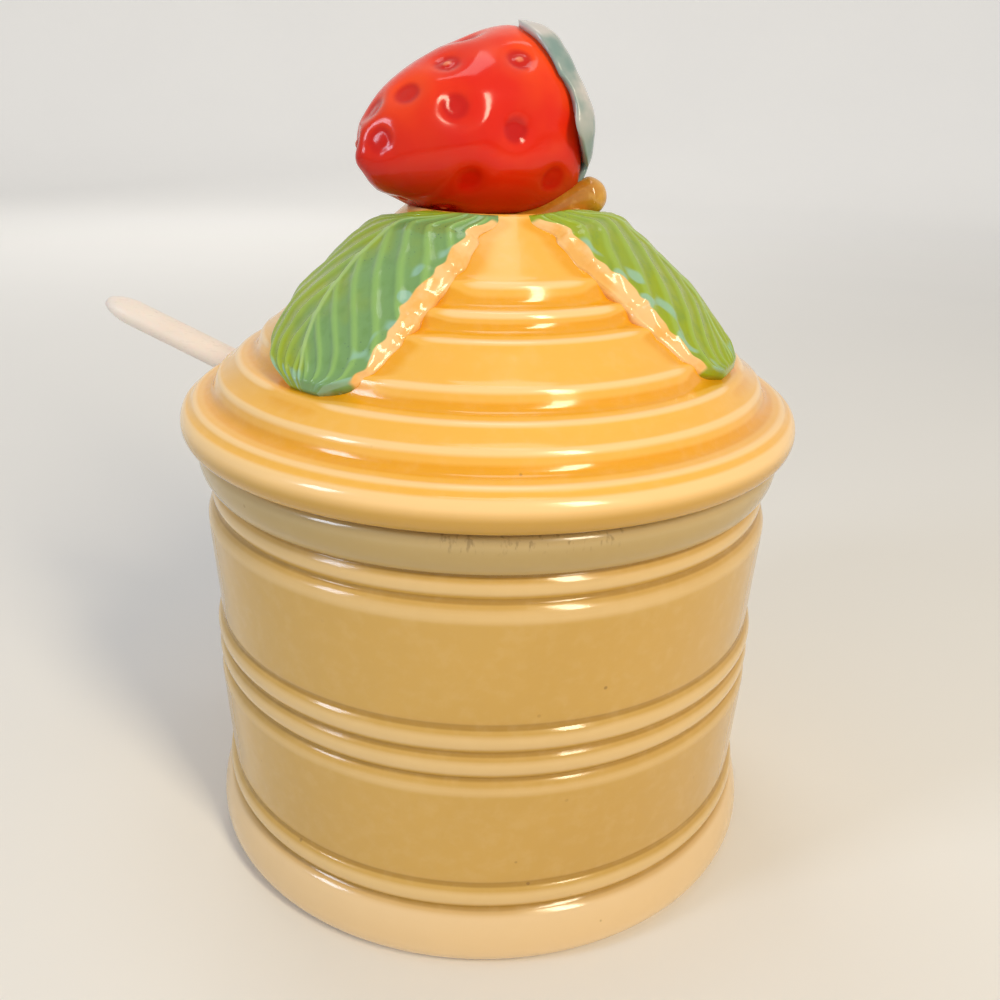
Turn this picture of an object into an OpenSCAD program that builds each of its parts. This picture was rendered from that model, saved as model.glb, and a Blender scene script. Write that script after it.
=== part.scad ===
// Lidded jam pot: a turned pot with ribbed bands, a stepped lid with a spoon notch,
// a strawberry knob with its calyx and twig, two moulded leaves, and a loose spoon.
// The pot stands on z = 0 with its axis on z. The photographed side faces -y.

/* [Pot] */
// Diameter over the beads
body_d = 88.8; // [84:0.1:100]
// How far the foot stands out beyond the beads
foot_out = 1.5; // [0.5:0.1:4]
// Height of the foot up to its top groove
foot_h = 9.3; // [8:0.1:12]
// Rounding at the foot's lower edge
foot_round = 3.2; // [2:0.1:4]
// Depth of the grooves between beads
groove_depth = 1.1; // [0.5:0.1:1.5]
// Height of one bead
bead_h = 4.05; // [3:0.05:5]
// Height of the lower plain band
lower_band_h = 18.5; // [14:0.1:24]
// Height of the upper plain band
upper_band_h = 18.4; // [14:0.1:24]
// How much a plain band narrows towards its foot
band_taper = 0.8; // [0:0.1:1.2]
// Height of the rounded shoulder at the top of a plain band
shoulder_h = 2.2; // [1:0.1:4]
// How far the bead under the collar lies inside the others
top_bead_inset = 0.8; // [0:0.1:1.5]
// How far the collar stands out beyond the beads
collar_out = 0.8; // [0.2:0.1:3]
// Height of the collar
collar_h = 6.6; // [5:0.1:9]
// Rounding of the rim
rim_round = 1.6; // [1:0.1:2]
// Thickness of the wall
pot_wall = 4.4; // [3.6:0.1:6]
// Thickness of the floor above the recess
pot_floor = 5; // [4:0.1:8]
// Rounding between wall and floor, inside
inside_round = 4; // [2:0.5:8]
// Width of the ring that the pot stands on
foot_ring_w = 5; // [3:0.1:8]
// Depth of the recess inside that ring
foot_recess = 1.4; // [0.6:0.1:3]

/* [Lid] */
// How far the lid reaches out beyond the collar
lid_out = 2; // [1:0.1:5]
// Height of the lid's rounded rim
lid_rim_h = 5; // [4:0.1:6]
// How far the rim's underside starts inside its widest place
lid_lip = 2; // [1:0.1:3]
// How far the cone's foot lies inside the rim
lid_rim_step = 1.4; // [1:0.1:3]
// Rise of the cone above the rim
lid_rise = 28.1; // [24:0.1:34]
// Diameter of the flat at the top of the cone
lid_top_d = 25; // [20:0.1:28]
// Thickness of the lid's wall
lid_wall = 4; // [3:0.1:5]
// Depth of the grooves round the cone
lid_groove_depth = 1; // [0.4:0.1:1.4]
// Height of one groove round the cone
lid_groove_h = 2; // [1.4:0.1:2.6]
// Height of the fine ridge at each side of a groove
lid_ridge = 0.25; // [0:0.05:0.5]
// Depth of the ring that locates the lid in the mouth
plug_h = 5; // [3:0.1:7]
// Thickness of that ring
plug_t = 3.2; // [2.4:0.1:4]
// Play between that ring and the mouth
plug_play = 0.8; // [0.4:0.1:1.2]
// Play between the lid and the pot's rim
seat_play = 0.2; // [0.1:0.05:0.3]
// Direction of the spoon notch, anticlockwise from +x
notch_angle = 161.5; // [150:0.5:175]
// Play at each side of the spoon's handle in the notch
notch_play = 1.4; // [0.8:0.1:2]

/* [Strawberry] */
// Length of the strawberry
berry_l = 34.4; // [28:0.1:38]
// Thickness of the strawberry
berry_d = 25.8; // [22:0.1:28]
// How far its thickest place lies from its calyx end
berry_shoulder = 6.8; // [5:0.1:12]
// How sharply it narrows to its tip
berry_taper = 1.2; // [1:0.05:1.4]
// How far its calyx end is turned away from the front, in degrees
berry_turn = 38; // [25:1:50]
// How far its tip dips, in degrees
berry_dip = 10.5; // [4:0.5:14]
// How far its thickest place lies to the right of the lid's axis
berry_right = 2.7; // [0:0.1:5]
// How far its thickest place lies behind the lid's axis
berry_behind = 6.5; // [3:0.1:9]
// Depth to which it is bedded in the lid
berry_bed = 2.3; // [1:0.1:5]
// Diameter of a seed pit
pit_d = 5; // [3:0.1:6]
// Depth of a seed pit
pit_depth = 0.9; // [0.4:0.1:1.4]
// Height of the seed in its pit
seed_h = 0.5; // [0.2:0.1:0.8]
// Width of the seed
seed_d = 2; // [1.2:0.1:2.6]

/* [Calyx and twig] */
// Thickness of the calyx
calyx_t = 1.2; // [0.8:0.1:2]
// How far the tips of the sepals stand off the strawberry
sepal_lift = 0.4; // [0.2:0.1:1.5]
// Number of sepals
sepal_count = 6; // [5:1:8]
// Diameter of the twig
twig_d = 5.2; // [4:0.1:6.5]
// Distance of the twig's round end from the lid's axis
twig_reach = 16.7; // [13:0.1:19]
// Depth to which the twig is bedded in the lid
twig_bed = 1.3; // [1:0.1:4]
// Slope of the twig
twig_slope = 15; // [5:1:25]

/* [Leaves] */
// Largest width of a leaf
leaf_w = 29.5; // [24:0.5:34]
// Distance from the lid's axis at which a leaf starts
leaf_root_r = 12.8; // [10:0.1:14]
// Distance from the lid's axis at which a leaf ends
leaf_tip_r = 37.2; // [34:0.1:41]
// Thickness of a leaf at its margin
leaf_t = 1.1; // [0.8:0.1:2]
// How far a leaf's middle stands prouder than its margin
leaf_crown = 0.9; // [0.4:0.1:1.6]
// Depth to which a leaf is bedded in the lid
leaf_bed = 0.8; // [0.4:0.1:1.4]
// Width of the raised midrib
midrib_w = 1.8; // [1:0.1:3]
// Share of a leaf's half width over which its surface falls to the margin
margin_share = 0.2; // [0.1:0.05:0.4]
// Height of the veins
vein_h = 0.35; // [0.2:0.05:0.6]
// Number of side veins on each half of a leaf
vein_count = 7; // [5:1:10]
// Depth of the teeth along a leaf's margin
tooth_depth = 0.9; // [0.4:0.1:1.6]
// Direction of the left leaf, from the front towards -x
left_leaf_angle = 41; // [38:1:52]
// Direction of the right leaf, from the front towards +x
right_leaf_angle = 66; // [60:1:80]
// How far a leaf's midrib bows sideways, in degrees
leaf_bow = 11; // [0:1:16]

/* [Spoon] */
// Width of the handle
handle_w = 5.8; // [4.5:0.1:7]
// Thickness of the handle
handle_t = 4.2; // [3:0.1:5]
// Length of handle outside the rim
handle_out = 31; // [22:0.5:40]
// Slope of the handle where it leaves the pot
handle_slope = 19.5; // [15:0.5:25]
// Slope of the handle above the bowl
neck_slope = 63; // [55:1:68]
// Length of the bend from one slope to the other
bend_l = 44; // [36:1:52]
// Length of the bowl
bowl_l = 33; // [26:0.5:38]
// Width of the bowl
bowl_w = 22; // [16:0.5:26]
// Depth of the bowl
bowl_depth = 5.5; // [3:0.1:7]
// Thickness of the bowl
bowl_t = 2.2; // [1.6:0.1:3]
// Slope of the bowl at its end
bowl_slope = 20; // [10:1:30]
// Gap at which the spoon rests from the rim and the floor
spoon_gap = 0.3; // [0.2:0.05:0.5]

/* [Hidden] */
$fn = 128;

// One overrun serves every cut
overrun = 1;

// Heights of the pot's rings, from the foot up
foot_bead_z = foot_h;
lower_band_z = foot_bead_z + bead_h;
low_bead_z = lower_band_z + lower_band_h;
high_bead_z = low_bead_z + bead_h;
upper_band_z = high_bead_z + bead_h;
top_bead_z = upper_band_z + upper_band_h;
collar_z = top_bead_z + bead_h - top_bead_inset / 2;
pot_h = collar_z + collar_h;
bead_r = body_d / 2;
groove_r = bead_r - groove_depth;
foot_r = bead_r + foot_out;
collar_r = bead_r + collar_out;
mouth_r = bead_r - pot_wall;
floor_z = foot_recess + pot_floor;
// Steps in a bead's half round, and how full each round is
bead_steps = 5;
bead_fullness = 0.7;
collar_fullness = 0.45;
foot_fullness = 0.5;

// The lid's cone
lid_r = collar_r + lid_out;
seat_z = pot_h + seat_play;
cone_z = seat_z + lid_rim_h;
cone_foot_r = lid_r - lid_rim_step;
lid_top_r = lid_top_d / 2;
lid_top_z = cone_z + lid_rise;
cone_run = (cone_foot_r - lid_top_r) / lid_rise;
cone_stretch = sqrt(1 + cone_run * cone_run);
plug_r = mouth_r - plug_play;
plug_in_r = plug_r - plug_t;
// Places of the grooves round the cone, as shares of its rise
groove_shares = [0.082, 0.284, 0.562, 0.673];
// A ridge lies this many half grooves from the middle of its groove, and is this share as wide
ridge_place = 1.7;
ridge_share = 0.5;
cone_steps = 72;
rim_steps = 12;
lid_lip_r = lid_r - lid_lip;

// A leaf's half width along its length, as shares of its largest
leaf_width_shares = [[0, 0.3], [0.06, 0.56], [0.14, 0.8], [0.27, 0.97], [0.45, 1], [0.65, 0.98],
                     [0.82, 0.84], [0.92, 0.62], [0.97, 0.42], [1, 0.16]];
leaf_rows = 44;
leaf_cols = 14;
vein_slant = 0.38;
vein_sharpness = 3;
midrib_lift = 1.4;
leaf_bow_start = 0.14;
leaf_bow_turn = 0.8;
leaf_end_share = 0.08;

// The strawberry's centre line and seat
berry_r = berry_d / 2;
berry_tip_l = berry_l - berry_shoulder;
berry_low = norm([berry_r * cos(berry_dip), berry_tip_l * sin(berry_dip)]);
berry_z = lid_top_z - berry_bed + berry_low;
berry_rings = 36;
berry_sides = 60;
// The first and last ring lie this many degrees from the poles
berry_pole = 4;
// Places of the seed pits: degrees from the calyx end, and degrees round from the top
pit_places = [
    [99, 318], [119, 340], [137, 338], [126, 302], [109, 274], [96, 238], [125, 242], [159, 310], [148, 12], [103, 4],
    [100, 55], [100, 100], [100, 150], [100, 195], [114, 32], [114, 80], [114, 125], [114, 172], [112, 208],
    [128, 55], [128, 105], [128, 150], [128, 198], [143, 180], [143, 120], [143, 75], [160, 120], [161, 60]];
calyx_steps = 9;
// Reach of the calyx between its sepals and at their tips, in degrees from the calyx end
calyx_reach = 66;
sepal_reach = 92;
sepal_shape = 0.8;
// Direction of the first sepal round the strawberry, in degrees from its top
sepal_start = 30;
// From this share of its reach the calyx thins out
sepal_thin_share = 0.7;

// The spoon's path, in its own upright plane
rim_mid_r = (mouth_r + collar_r) / 2;
// The handle's underside keeps its gap from the round at the rim's inner edge
cross_r = mouth_r + rim_round;
cross_z = pot_h - rim_round + (rim_round + spoon_gap + handle_t / 2) / cos(handle_slope);
tip_path_r = cross_r + handle_out * cos(handle_slope);
tip_path_z = cross_z + handle_out * sin(handle_slope);
straight_l = handle_out + handle_w;
step_l = 2.6;
spoon_cols = 9;
tip_round = handle_w;
// Shares that shape the spoon: where the bowl opens, its widest place, and the slim neck
bowl_open_share = 0.22;
bowl_wide_share = 1.08;
bowl_curve = 0.86;
neck_share = 0.86;
blunt_share = 0.3;
lows_steps = 12;
// The spoon's upper face stands this share of its thickness over the lower one at the edge
edge_share = 0.02;

// Points of a ring whose half round swells from r0 to r1 between two heights
function swell(z0, z1, r0, r1, fullness, steps) =
    [for (i = [1:steps - 1]) [r0 + (r1 - r0) * pow(sin(180 * i / steps), fullness), z0 + (z1 - z0) * i / steps]];

// Points of a plain band: it widens upwards to a round shoulder
function band(z0, z1) = concat(
    [[groove_r, z0], [bead_r - band_taper, z0 + groove_depth / 2]],
    [for (i = [0:bead_steps])
        [groove_r + (bead_r - groove_r) * pow(cos(90 * i / bead_steps), bead_fullness),
         z1 - shoulder_h + shoulder_h * i / bead_steps]]);

// Points of a quarter round about a centre
function quarter(r, z, radius, from, to, steps) =
    [for (i = [0:steps]) let (a = from + (to - from) * i / steps) [r + radius * cos(a), z + radius * sin(a)]];

// Radius of the lid's plain cone at a height, and its height at a radius
function cone_r(z) = cone_foot_r - cone_run * (z - cone_z);
function cone_height(r) = cone_z + (cone_foot_r - r) / cone_run;

// Depth of the turned grooves at a height on the cone, below zero on the ridges beside them
function turned(z) = let (
    up = [for (s = groove_shares) (z - cone_z - s * lid_rise) / (lid_groove_h / 2)],
    groove = max([for (u = up) exp(-u * u)]),
    ridge = max([for (u = up) let (off = (abs(u) - ridge_place) / ridge_share) exp(-off * off)]))
    lid_groove_depth * groove - lid_ridge * ridge * (1 - groove);

// A place on the cone, raised along its normal; the angle runs from the front towards +x
function on_cone(r, angle, lift) = let (
    rr = r + lift / cone_stretch,
    z = cone_height(r) + lift * cone_run / cone_stretch)
    [rr * sin(angle), -rr * cos(angle), z];

function smooth(t) = let (c = min(1, max(0, t))) c * c * (3 - 2 * c);
function total(list, i = 0) = i >= len(list) ? 0 : list[i] + total(list, i + 1);

// A skin over closed rings of equal length, with its two ends closed flat
module skin(rings) {
    n = len(rings[0]);
    m = len(rings);
    sides = [for (i = [0:m - 2], j = [0:n - 1]) let (k = (j + 1) % n)
        each [[i * n + j, i * n + k, (i + 1) * n + k], [i * n + j, (i + 1) * n + k, (i + 1) * n + j]]];
    ends = [[for (j = [n - 1:-1:0]) j], [for (j = [0:n - 1]) (m - 1) * n + j]];
    polyhedron(points = [for (ring = rings) each ring], faces = concat(sides, ends), convexity = 6);
}

// The same for rings that run out along one face and back along the other
module sheet_skin(rings) {
    n = len(rings[0]);
    m = len(rings);
    last = (m - 1) * n;
    sides = [for (i = [0:m - 2], j = [0:n - 1]) let (k = (j + 1) % n)
        each [[i * n + j, i * n + k, (i + 1) * n + k], [i * n + j, (i + 1) * n + k, (i + 1) * n + j]]];
    ends = [for (j = [0:n / 2 - 2]) let (a = j, b = j + 1, c = n - 2 - j, d = n - 1 - j)
        each [[a, c, b], [a, d, c], [last + a, last + b, last + c], [last + a, last + c, last + d]]];
    polyhedron(points = [for (ring = rings) each ring], faces = concat(sides, ends), convexity = 6);
}

module pot() {
    ring_out_r = foot_r - foot_round;
    ring_in_r = ring_out_r - foot_ring_w;
    outer = concat(
        quarter(foot_r - foot_round, foot_round, foot_round, -90, 0, bead_steps),
        [for (i = [1:bead_steps]) let (t = i / bead_steps)
            [groove_r + (foot_r - groove_r) * pow(cos(90 * t), foot_fullness),
             foot_round + (foot_bead_z - foot_round) * t]],
        swell(foot_bead_z, lower_band_z, groove_r, bead_r, bead_fullness, bead_steps),
        band(lower_band_z, low_bead_z),
        swell(low_bead_z, high_bead_z, groove_r, bead_r, bead_fullness, bead_steps),
        [[groove_r, high_bead_z]],
        swell(high_bead_z, upper_band_z, groove_r, bead_r, bead_fullness, bead_steps),
        band(upper_band_z, top_bead_z),
        swell(top_bead_z, collar_z, groove_r - top_bead_inset, bead_r - top_bead_inset,
              bead_fullness, bead_steps),
        [for (i = [0:bead_steps]) let (t = i / bead_steps)
            [groove_r - top_bead_inset + (collar_r - groove_r + top_bead_inset) * pow(sin(90 * t), collar_fullness),
             collar_z + (collar_h - rim_round) * t]]);
    rim = concat(
        quarter(collar_r - rim_round, pot_h - rim_round, rim_round, 0, 90, bead_steps),
        quarter(mouth_r + rim_round, pot_h - rim_round, rim_round, 90, 180, bead_steps));
    inner = quarter(mouth_r - inside_round, floor_z + inside_round, inside_round, 0, -90, bead_steps);
    base = [[0, floor_z], [0, foot_recess], [ring_in_r - foot_recess, foot_recess], [ring_in_r, 0]];
    color("#d9b765") rotate_extrude() polygon(concat(outer, rim, inner, base));
}

module lid() {
    rim = [for (i = [0:rim_steps]) let (a = -90 + 180 * i / rim_steps)
        [a < 0 ? lid_lip_r + (lid_r - lid_lip_r) * cos(a) : cone_foot_r + (lid_r - cone_foot_r) * cos(a),
         seat_z + lid_rim_h / 2 * (1 + sin(a))]];
    cone = [for (i = [1:cone_steps]) let (z = cone_z + lid_rise * i / cone_steps, d = turned(z))
        [cone_r(z) - d / cone_stretch, z - d * cone_run / cone_stretch]];
    wall_run = lid_wall * cone_stretch;
    ceiling_z = lid_top_z - lid_wall;
    hollow = [
        [0, ceiling_z], [max(cone_r(ceiling_z) - wall_run, lid_wall), ceiling_z],
        [plug_in_r, cone_height(plug_in_r + wall_run)], [plug_in_r, seat_z - plug_h]];
    plug = [[plug_r, seat_z - plug_h], [plug_r, seat_z]];
    color("#efb04a") difference() {
        rotate_extrude() polygon(concat(plug, rim, cone, [[0, lid_top_z]], hollow));
        notch();
    }
}

// The spoon's way out: open through the rim, and cut into the locating ring below
module notch() {
    width = handle_w + 2 * notch_play;
    roof_z = cross_z + handle_t / 2 + notch_play;
    eye_r = rim_mid_r;
    rotate(notch_angle) {
        translate([eye_r, 0, seat_z - plug_h - overrun]) {
            cylinder(d = width, h = lid_rise);
            translate([0, -width / 2, 0]) cube([lid_r, width, lid_rise]);
        }
        translate([plug_in_r - plug_t, -width / 2, seat_z - plug_h - overrun])
            cube([eye_r - plug_in_r + plug_t, width, roof_z - seat_z + plug_h + overrun]);
    }
}

// Outline of the strawberry: place along its axis and radius, 0 degrees at the calyx end, 180 at the tip
function berry_outline(along) = along < 90
    ? [berry_shoulder * cos(along), berry_r * sin(along)]
    : [berry_tip_l * cos(along), berry_r * pow(sin(along), berry_taper)];

// Depth of the seed pits at a place on the strawberry
function pits(along, around) = let (
    here = berry_outline(along),
    near = [for (pit = pit_places) let (
        there = berry_outline(pit[0]),
        turn = abs(around - pit[1]),
        across = min(turn, 360 - turn) * PI / 180 * min(here[1], there[1]))
        norm([across, norm(here - there)])],
    d = min(near))
    d > pit_d / 2 ? 0 : pit_depth * (1 - smooth(d / (pit_d / 2))) - seed_h * (1 - smooth(d / (seed_d / 2)));

// A place on the strawberry: along its outline and round it from its top
function berry_point(along, around, lift) = let (
    here = berry_outline(along),
    r = here[1] + lift * sin(along),
    out = here[0] + lift * cos(along),
    p = [out * cos(berry_dip) - r * cos(around) * sin(berry_dip), r * sin(around)])
    [berry_right + p[0] * cos(berry_turn) - p[1] * sin(berry_turn),
     berry_behind + p[0] * sin(berry_turn) + p[1] * cos(berry_turn),
     berry_z + out * sin(berry_dip) + r * cos(around) * cos(berry_dip)];

module strawberry() {
    rings = [for (i = [0:berry_rings]) let (along = berry_pole + (180 - 2 * berry_pole) * i / berry_rings)
        [for (j = [berry_sides - 1:-1:0]) let (around = 360 * j / berry_sides)
            berry_point(along, around, -pits(along, around))]];
    color("#dd3a14") skin(rings);
}

module calyx() {
    count = 10 * sepal_count;
    lobes = [for (j = [0:count - 1]) pow(abs(cos(180 * sepal_count * j / count)), sepal_shape)];
    reach = [for (lobe = lobes) calyx_reach + (sepal_reach - calyx_reach) * lobe];
    outside = [for (i = [1:calyx_steps])
        [for (j = [count - 1:-1:0]) let (
            t = i / calyx_steps,
            fade = 1 - smooth((t - sepal_thin_share) / (1 - sepal_thin_share)) / 2)
            berry_point(reach[j] * t, sepal_start + 360 * j / count,
                        calyx_t * fade + sepal_lift * lobes[j] * smooth((t - 0.5) * 2))]];
    inside = [for (i = [calyx_steps:-1:1])
        [for (j = [count - 1:-1:0]) let (t = i / calyx_steps)
            berry_point(reach[j] * t, sepal_start + 360 * j / count,
                        -calyx_t / 2 + sepal_lift * lobes[j] * smooth((t - 0.5) * 2))]];
    color("#b9c8bd") skin(concat(outside, inside));
}

module stem() {
    end = [twig_reach - twig_d / 2, lid_top_z - twig_bed + twig_d / 2];
    length = twig_reach;
    color("#c08a2e") translate([end[0], 0, end[1]]) rotate([0, -90 - twig_slope, 0]) {
        sphere(d = twig_d);
        cylinder(d = twig_d, h = length);
    }
}

// Height of a leaf above the cone: crown, midrib and side veins
function leaf_lift(u, v) = let (
    phase = (u - vein_slant * abs(v)) * (vein_count + 1),
    side = pow(abs(cos(180 * phase)), vein_sharpness),
    midrib = exp(-pow(v * leaf_w / midrib_w, 2)),
    fade = smooth((1 - abs(v)) / margin_share) * smooth(u / leaf_end_share) * smooth((1 - u) / leaf_end_share))
    leaf_t + leaf_crown * (1 - v * v) * smooth((1 - u) / (2 * margin_share)) + vein_h * fade * max(side, midrib_lift * midrib);

// A leaf along its midrib; the angle runs from the front towards +x, and the bow turns it away
module leaf(angle, bow) {
    span = leaf_tip_r - leaf_root_r;
    rings = [for (i = [0:leaf_rows]) let (
        u = i / leaf_rows,
        r = leaf_root_r + span * u,
        middle = angle + bow * sin(180 * pow(u, leaf_bow_turn)) - 2 * bow * (1 - smooth(u / leaf_bow_start)),
        tooth = tooth_depth * (1 - abs(cos(180 * (u - vein_slant) * (vein_count + 1)))) * smooth(u / leaf_end_share),
        half = leaf_w / 2 * lookup(u, leaf_width_shares) - tooth)
        concat(
            [for (j = [0:leaf_cols]) let (v = -1 + 2 * j / leaf_cols)
                on_cone(r, middle + half * v / r * 180 / PI, leaf_lift(u, v))],
            [for (j = [leaf_cols:-1:0]) let (v = -1 + 2 * j / leaf_cols)
                on_cone(r, middle + half * v / r * 180 / PI, -leaf_bed)])];
    sheet_skin(rings);
}

module leaf_left() {
    color("#8fb56a") leaf(-left_leaf_angle, -leaf_bow);
}

module leaf_right() {
    color("#8fb05a") leaf(right_leaf_angle, leaf_bow);
}

// Slope of the spoon at a distance from its tip, for a neck of a given length
function spoon_slope(s, neck) = let (
    bend_end = straight_l + bend_l,
    bowl_start = bend_end + neck)
    s < bowl_start
        ? handle_slope + (neck_slope - handle_slope) * smooth((s - straight_l) / bend_l)
        : neck_slope + (bowl_slope - neck_slope) * smooth((s - bowl_start) / bowl_l);

// Places along the path: distance inwards from the tip and drop below it
function spoon_place(s, neck) = let (
    parts = max(1, ceil(s / step_l)),
    slopes = [for (i = [0:parts - 1]) spoon_slope(s * (i + 0.5) / parts, neck)])
    [total([for (a = slopes) cos(a)]) * s / parts, total([for (a = slopes) sin(a)]) * s / parts];

// Width, depth and thickness of the spoon at a distance from its tip
function spoon_section(s, neck) = let (
    bowl_start = straight_l + bend_l + neck,
    t = (s - bowl_start) / bowl_l,
    in_bowl = smooth(t / bowl_open_share),
    round_end = sqrt(max(0.0004, 1 - pow(max(0, (tip_round - s) / tip_round), 2))),
    bowl_half = sqrt(max(0.0016, 1 - pow(2 * max(0.1, t) - bowl_wide_share, 2) * bowl_curve
                                 - (1 - bowl_curve) * max(0, t))),
    neck_w = handle_w * (neck_share + (1 - neck_share) * smooth(1 - (s - straight_l) / bend_l)))
    [neck_w * (1 - in_bowl) * round_end + bowl_w * bowl_half * in_bowl,
     bowl_depth * in_bowl * bowl_half,
     (handle_t * (1 - in_bowl) + bowl_t * in_bowl) * (t < 0 ? max(blunt_share, round_end) : 1)];

// One ring across the spoon, along its underside and back along its upper side
function spoon_ring(s, neck) = let (
    place = spoon_place(s, neck),
    slope = spoon_slope(s, neck),
    size = spoon_section(s, neck),
    r = tip_path_r - place[0],
    z = tip_path_z - place[1])
    concat(
        [for (j = [0:spoon_cols]) let (a = 180 * j / spoon_cols, v = -cos(a))
            spoon_point(r, z, slope, size[0] / 2 * v, -size[1] * (1 - v * v) - size[2] / 2 * sin(a))],
        [for (j = [spoon_cols:-1:0]) let (a = 180 * j / spoon_cols, v = -cos(a), edge = size[2] * edge_share)
            spoon_point(r, z, slope, size[0] / 2 * v, -size[1] * (1 - v * v) + size[2] / 2 * sin(a) + edge)]);

// A point beside the path: across the spoon and up from it, square to its slope
function spoon_point(r, z, slope, across, up) = [r - up * sin(slope), across, z + up * cos(slope)];

module spoon() {
    bare_l = straight_l + bend_l;
    // Lowest place of the bowl if the neck had no length; the neck then reaches down to the floor
    lows = [for (i = [0:lows_steps]) let (s = bare_l + bowl_l * i / lows_steps, size = spoon_section(s, 0))
        tip_path_z - spoon_place(s, 0)[1] - (size[1] + size[2] / 2) * cos(spoon_slope(s, 0))];
    neck = (min(lows) - floor_z - spoon_gap) / sin(neck_slope);
    whole_l = bare_l + neck + bowl_l;
    steps = ceil(whole_l / step_l);
    color("#efe6dc") rotate(notch_angle) sheet_skin([for (i = [0:steps]) spoon_ring(whole_l * i / steps, neck)]);
}

pot();
lid();
strawberry();
calyx();
stem();
leaf_left();
leaf_right();
spoon();
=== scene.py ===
import functools
from math import acos, atan2, ceil, cos, degrees, exp, hypot, inf, pi, radians, sin, sqrt

import bmesh
import bpy
from bpy.props import FloatProperty, FloatVectorProperty, IntProperty, PointerProperty
from mathutils import Matrix, Vector, kdtree, noise


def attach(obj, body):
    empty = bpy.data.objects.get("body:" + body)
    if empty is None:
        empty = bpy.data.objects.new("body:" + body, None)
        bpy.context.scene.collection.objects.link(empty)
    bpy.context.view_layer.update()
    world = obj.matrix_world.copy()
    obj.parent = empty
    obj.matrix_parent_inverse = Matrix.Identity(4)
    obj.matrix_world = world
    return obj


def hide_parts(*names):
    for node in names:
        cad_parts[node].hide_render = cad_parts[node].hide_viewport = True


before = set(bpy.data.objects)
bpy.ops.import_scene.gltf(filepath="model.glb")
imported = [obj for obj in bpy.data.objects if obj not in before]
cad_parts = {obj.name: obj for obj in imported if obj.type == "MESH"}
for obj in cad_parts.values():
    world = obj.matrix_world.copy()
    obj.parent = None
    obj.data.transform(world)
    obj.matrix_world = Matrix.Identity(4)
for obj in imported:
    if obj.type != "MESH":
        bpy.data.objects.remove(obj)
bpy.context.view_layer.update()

bl_info = {
    "name": "Jam Pot",
    "version": (1, 0, 0),
    "blender": (4, 5, 0),
    "location": "3D View > Sidebar > Jam Pot",
    "description": "Makes a glazed jam pot with a strawberry on its lid, two leaves and a spoon",
    "category": "Object",
}

MM = 0.001


def linear(red, green, blue):
    """A colour written in the 0 to 255 steps of a screen, as the shaders take it."""
    steps = (red, green, blue)
    return tuple(((c / 255 + 0.055) / 1.055) ** 2.4 if c > 10 else c / 255 / 12.92 for c in steps)


def length(name, description, default, low, high):
    return FloatProperty(name=name, description=description, default=default * MM,
                         min=low * MM, max=high * MM, unit="LENGTH", precision=4)


def colour(name, description, red, green, blue):
    return FloatVectorProperty(name=name, description=description, default=linear(red, green, blue),
                               subtype="COLOR", min=0, max=1)


class JamPotSizes(bpy.types.PropertyGroup):
    """The sizes of the pot, lid, strawberry, leaves and spoon"""
    body_d: length("Body diameter", "Diameter over the beads of the pot", 88.8, 84, 100)
    foot_out: length("Foot", "How far the foot stands out beyond the beads", 1.5, 0.5, 4)
    foot_h: length("Foot height", "Height of the foot up to its top groove", 9.3, 8, 12)
    groove_depth: length("Groove depth", "Depth of the grooves between the beads", 1.1, 0.5, 1.5)
    bead_h: length("Bead height", "Height of one bead", 4.05, 3, 5)
    lower_band_h: length("Lower band", "Height of the lower plain band", 18.5, 14, 24)
    upper_band_h: length("Upper band", "Height of the upper plain band", 18.4, 14, 24)
    collar_out: length("Collar", "How far the collar stands out beyond the beads", 0.8, 0.2, 3)
    collar_h: length("Collar height", "Height of the collar", 6.6, 5, 9)
    pot_wall: length("Pot wall", "Thickness of the pot's wall", 4.4, 3.6, 6)
    lid_out: length("Lid overhang", "How far the lid reaches out beyond the collar", 2, 1, 5)
    lid_rim_h: length("Lid rim", "Height of the lid's rounded rim", 5, 4, 6)
    lid_rise: length("Lid rise", "Rise of the cone above the rim", 28.1, 24, 34)
    lid_top_d: length("Lid top", "Diameter of the flat at the top of the cone", 25, 20, 28)
    lid_ridge: length("Ridge height", "Height of the ridges beside each groove round the lid", 0.25, 0.1, 0.5)
    berry_l: length("Strawberry length", "Length of the strawberry", 34.4, 28, 38)
    berry_d: length("Strawberry thickness", "Thickness of the strawberry", 25.8, 22, 28)
    pit_depth: length("Pit depth", "Depth of a seed pit", 0.6, 0.4, 1.4)
    seed_h: length("Seed height", "Height of the seed in its pit", 0.42, 0.2, 0.8)
    calyx_t: length("Calyx thickness", "Thickness of the calyx", 1.2, 0.8, 2)
    twig_d: length("Twig", "Diameter of the twig", 5.2, 4, 6.5)
    leaf_w: length("Leaf width", "Largest width of a leaf", 29.5, 24, 34)
    leaf_tip: length("Leaf tip", "Distance from the lid's axis at which a leaf ends", 37.2, 34, 41)
    vein_h: length("Vein height", "Height of the veins", 0.3, 0.2, 0.6)
    vein_count: IntProperty(name="Veins", description="Number of side veins on each half of a leaf",
                            default=5, min=5, max=10)
    handle_w: length("Handle width", "Width of the spoon's handle", 5.8, 4.5, 7)
    handle_t: length("Handle thickness", "Thickness of the spoon's handle", 4.2, 3, 5)
    bowl_w: length("Bowl width", "Width of the spoon's bowl", 22, 16, 26)
    bowl_l: length("Bowl length", "Length of the spoon's bowl", 33, 26, 38)


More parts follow.
